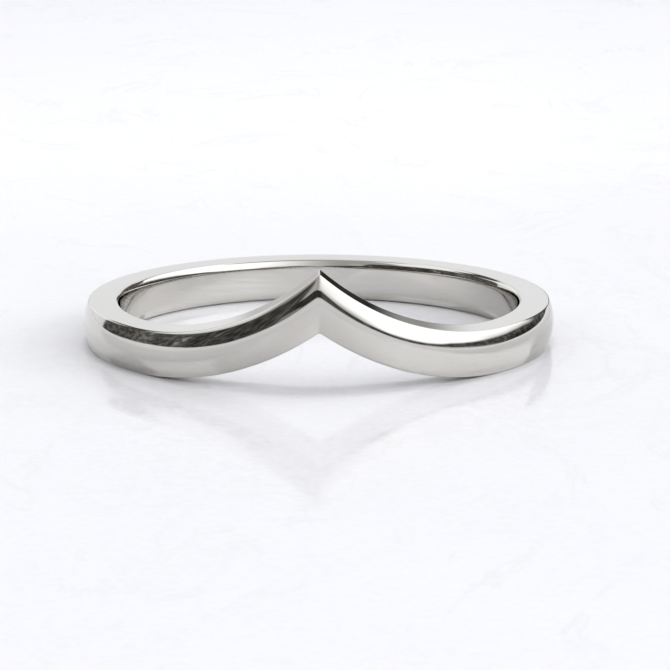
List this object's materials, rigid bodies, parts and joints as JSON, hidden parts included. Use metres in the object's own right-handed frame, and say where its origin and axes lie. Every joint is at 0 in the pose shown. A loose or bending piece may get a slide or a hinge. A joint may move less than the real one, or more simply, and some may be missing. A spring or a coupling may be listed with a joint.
{
  "type": "chevron ring",
  "caption": "Plain polished white-metal wishbone ring, a domed comfort-fit band raised into a pointed chevron at the front, lying on its side.",
  "frame": {"origin": "centre of the finger hole at the surface that the ring lies on", "axes": "+Z along the finger hole, up from the flat edge that the ring rests on; -Y towards the chevron's point; +X to the right of it"},
  "size_m": [0.0204, 0.0204, 0.0048],
  "materials": {
    "white_metal": "mirror-polished precious white metal"
  },
  "bodies": {
    "root": {"band": "white_metal"}
  },
  "joints": []
}
